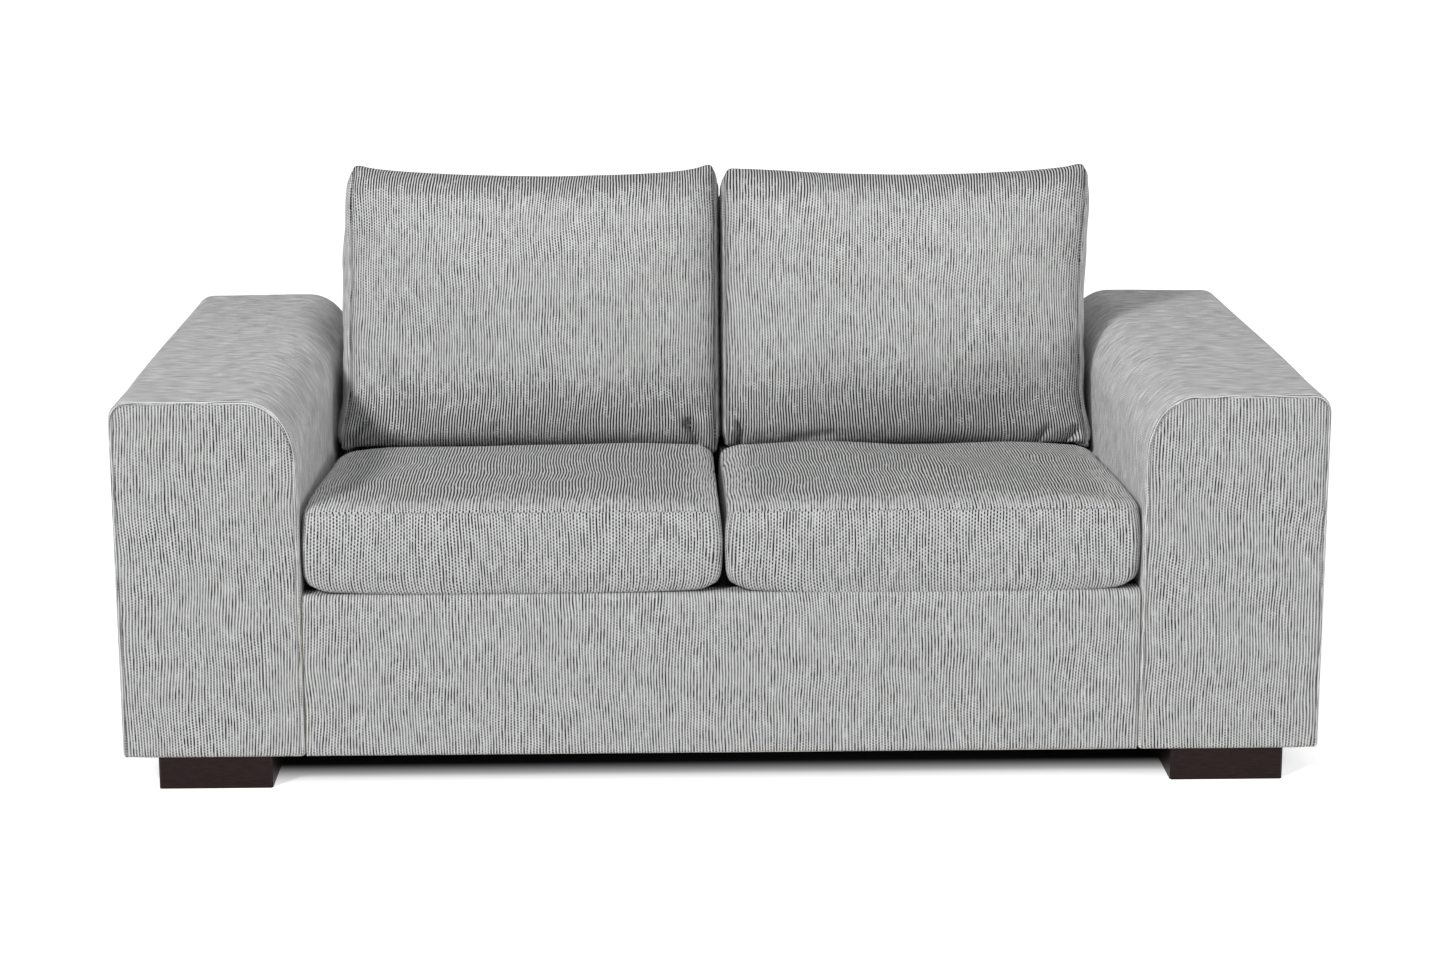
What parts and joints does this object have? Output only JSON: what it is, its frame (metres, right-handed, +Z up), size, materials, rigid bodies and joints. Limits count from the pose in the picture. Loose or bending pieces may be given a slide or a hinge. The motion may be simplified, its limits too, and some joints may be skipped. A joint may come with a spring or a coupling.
{
  "type": "two-seater sofa",
  "caption": "Upholstered sofa for two with wide level arms, loose boxed seat and back cushions, and dark block feet.",
  "frame": {"origin": "on the floor, under the middle of the sofa", "axes": "+X along the width, +Y from the front to the rear, +Z up"},
  "size_m": [1.84, 0.96, 0.88],
  "materials": {
    "upholstery": "matte",
    "foam": "matte",
    "fibre": "matte",
    "felt": "matte",
    "dust_cloth": "matte",
    "webbing": "matte",
    "foot_wood": "satin",
    "timber": "matte",
    "plywood": "matte",
    "hardboard": "matte",
    "spring_steel": "satin",
    "zinc_steel": "satin"
  },
  "bodies": {
    "frame": {"arm_band_cover_left": "upholstery", "arm_band_cover_right": "upholstery", "arm_base_board_left": "plywood", "arm_base_board_right": "plywood", "arm_front_board_left": "plywood", "arm_front_board_right": "plywood", "arm_front_cover_left": "upholstery", "arm_front_cover_right": "upholstery", "arm_inner_board_left": "plywood", "arm_inner_board_right": "plywood", "arm_outer_board_left": "hardboard", "arm_outer_board_right": "hardboard", "arm_padding_left": "foam", "arm_padding_right": "foam", "arm_rear_board_left": "plywood", "arm_rear_board_right": "plywood", "arm_top_board_left": "plywood", "arm_top_board_right": "plywood", "back_bottom_rail": "timber", "back_cover": "upholstery", "back_lumbar_rail": "timber", "back_padding": "foam", "back_post_centre": "plywood", "back_post_left": "plywood", "back_post_right": "plywood", "back_top_board": "plywood", "back_upper_rail": "timber", "back_webbing": "webbing", "centre_rail": "timber", "corner_blocks": "timber", "deck_cloth": "dust_cloth", "deck_felt": "felt", "dust_cover": "dust_cloth", "foot_bolts": "zinc_steel", "foot_front_left": "foot_wood", "foot_front_right": "foot_wood", "foot_rear_left": "foot_wood", "foot_rear_right": "foot_wood", "frame_bolts": "zinc_steel", "front_rail": "timber", "front_rail_cover": "upholstery", "front_rail_padding": "foam", "outside_back_cover": "upholstery", "rear_rail": "timber", "seat_springs_left": "spring_steel", "seat_springs_right": "spring_steel", "side_rail_left": "timber", "side_rail_right": "timber", "spring_clips": "zinc_steel"},
    "seat_cushion_left": {"seat_cushion_cover_left": "upholstery", "seat_cushion_core_left": "foam"},
    "seat_cushion_right": {"seat_cushion_cover_right": "upholstery", "seat_cushion_core_right": "foam"},
    "back_cushion_left": {"back_cushion_cover_left": "upholstery", "back_cushion_core_left": "fibre"},
    "back_cushion_right": {"back_cushion_cover_right": "upholstery", "back_cushion_core_right": "fibre"}
  },
  "joints": [
    {"name": "seat_cushion_left_pull", "type": "slide", "parent": "frame", "child": "seat_cushion_left", "axis": [0, -1, 0], "range_m": [0, 0.7]},
    {"name": "back_cushion_left_lift", "type": "slide", "parent": "frame", "child": "back_cushion_left", "axis": [0, 0.2756, 0.9613], "range_m": [0, 0.4]},
    {"name": "seat_cushion_right_pull", "type": "slide", "parent": "frame", "child": "seat_cushion_right", "axis": [0, -1, 0], "range_m": [0, 0.7]},
    {"name": "back_cushion_right_lift", "type": "slide", "parent": "frame", "child": "back_cushion_right", "axis": [0, 0.2756, 0.9613], "range_m": [0, 0.4]}
  ]
}
